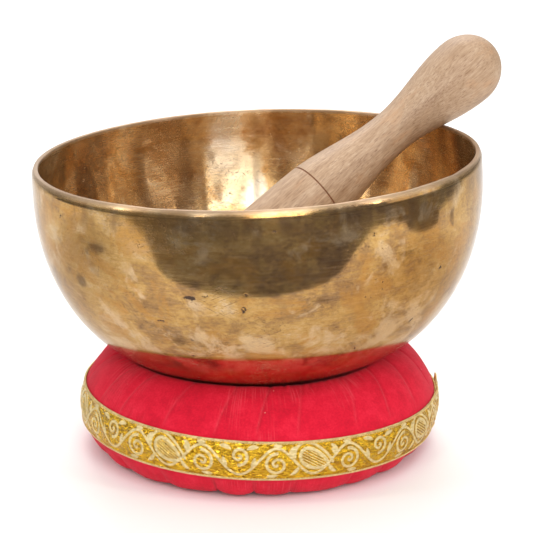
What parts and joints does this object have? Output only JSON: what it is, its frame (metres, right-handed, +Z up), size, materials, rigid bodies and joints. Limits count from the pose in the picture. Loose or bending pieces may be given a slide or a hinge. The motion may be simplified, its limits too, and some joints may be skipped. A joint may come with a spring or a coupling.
{
  "type": "singing bowl set",
  "caption": "Hammered bronze singing bowl resting on a round gathered cushion with a brocade ribbon, and a turned wooden mallet leaning in the bowl.",
  "frame": {"origin": "on the table, under the middle of the set's outline, which is the middle of the cushion", "axes": "+Z up; the mallet leans towards +X +Y and its head sticks out over the rim there"},
  "size_m": [0.2515, 0.2502, 0.2246],
  "materials": {
    "bronze": "hand-hammered bronze, polished and then worn, with oxide spots and a matte ground lip",
    "mallet_wood": "pale turned hardwood, unlacquered, fine pores along the axis",
    "cover_cloth": "crimson cotton velvet, gathered into pleats",
    "cotton_filling": "loose cotton filling",
    "ribbon_brocade": "gold brocade woven with metallic yarn",
    "gold_thread": "twisted gold sewing thread",
    "red_thread": "waxed red sewing thread"
  },
  "bodies": {
    "cushion": {"cushion_cover": "cover_cloth", "cushion_filling": "cotton_filling", "brocade_ribbon": "ribbon_brocade", "ribbon_stitching_upper": "gold_thread", "ribbon_stitching_lower": "gold_thread", "gather_thread_top": "red_thread", "gather_thread_under": "red_thread"},
    "bowl": {"bowl": "bronze"},
    "mallet": {"mallet": "mallet_wood"}
  },
  "joints": [
    {"name": "bowl_lift", "type": "slide", "parent": "cushion", "child": "bowl", "axis": [0, 0, 1], "range_m": [0, 0.15]},
    {"name": "mallet_lift", "type": "slide", "parent": "bowl", "child": "mallet", "axis": [0, 0, 1], "range_m": [0, 0.18]}
  ]
}
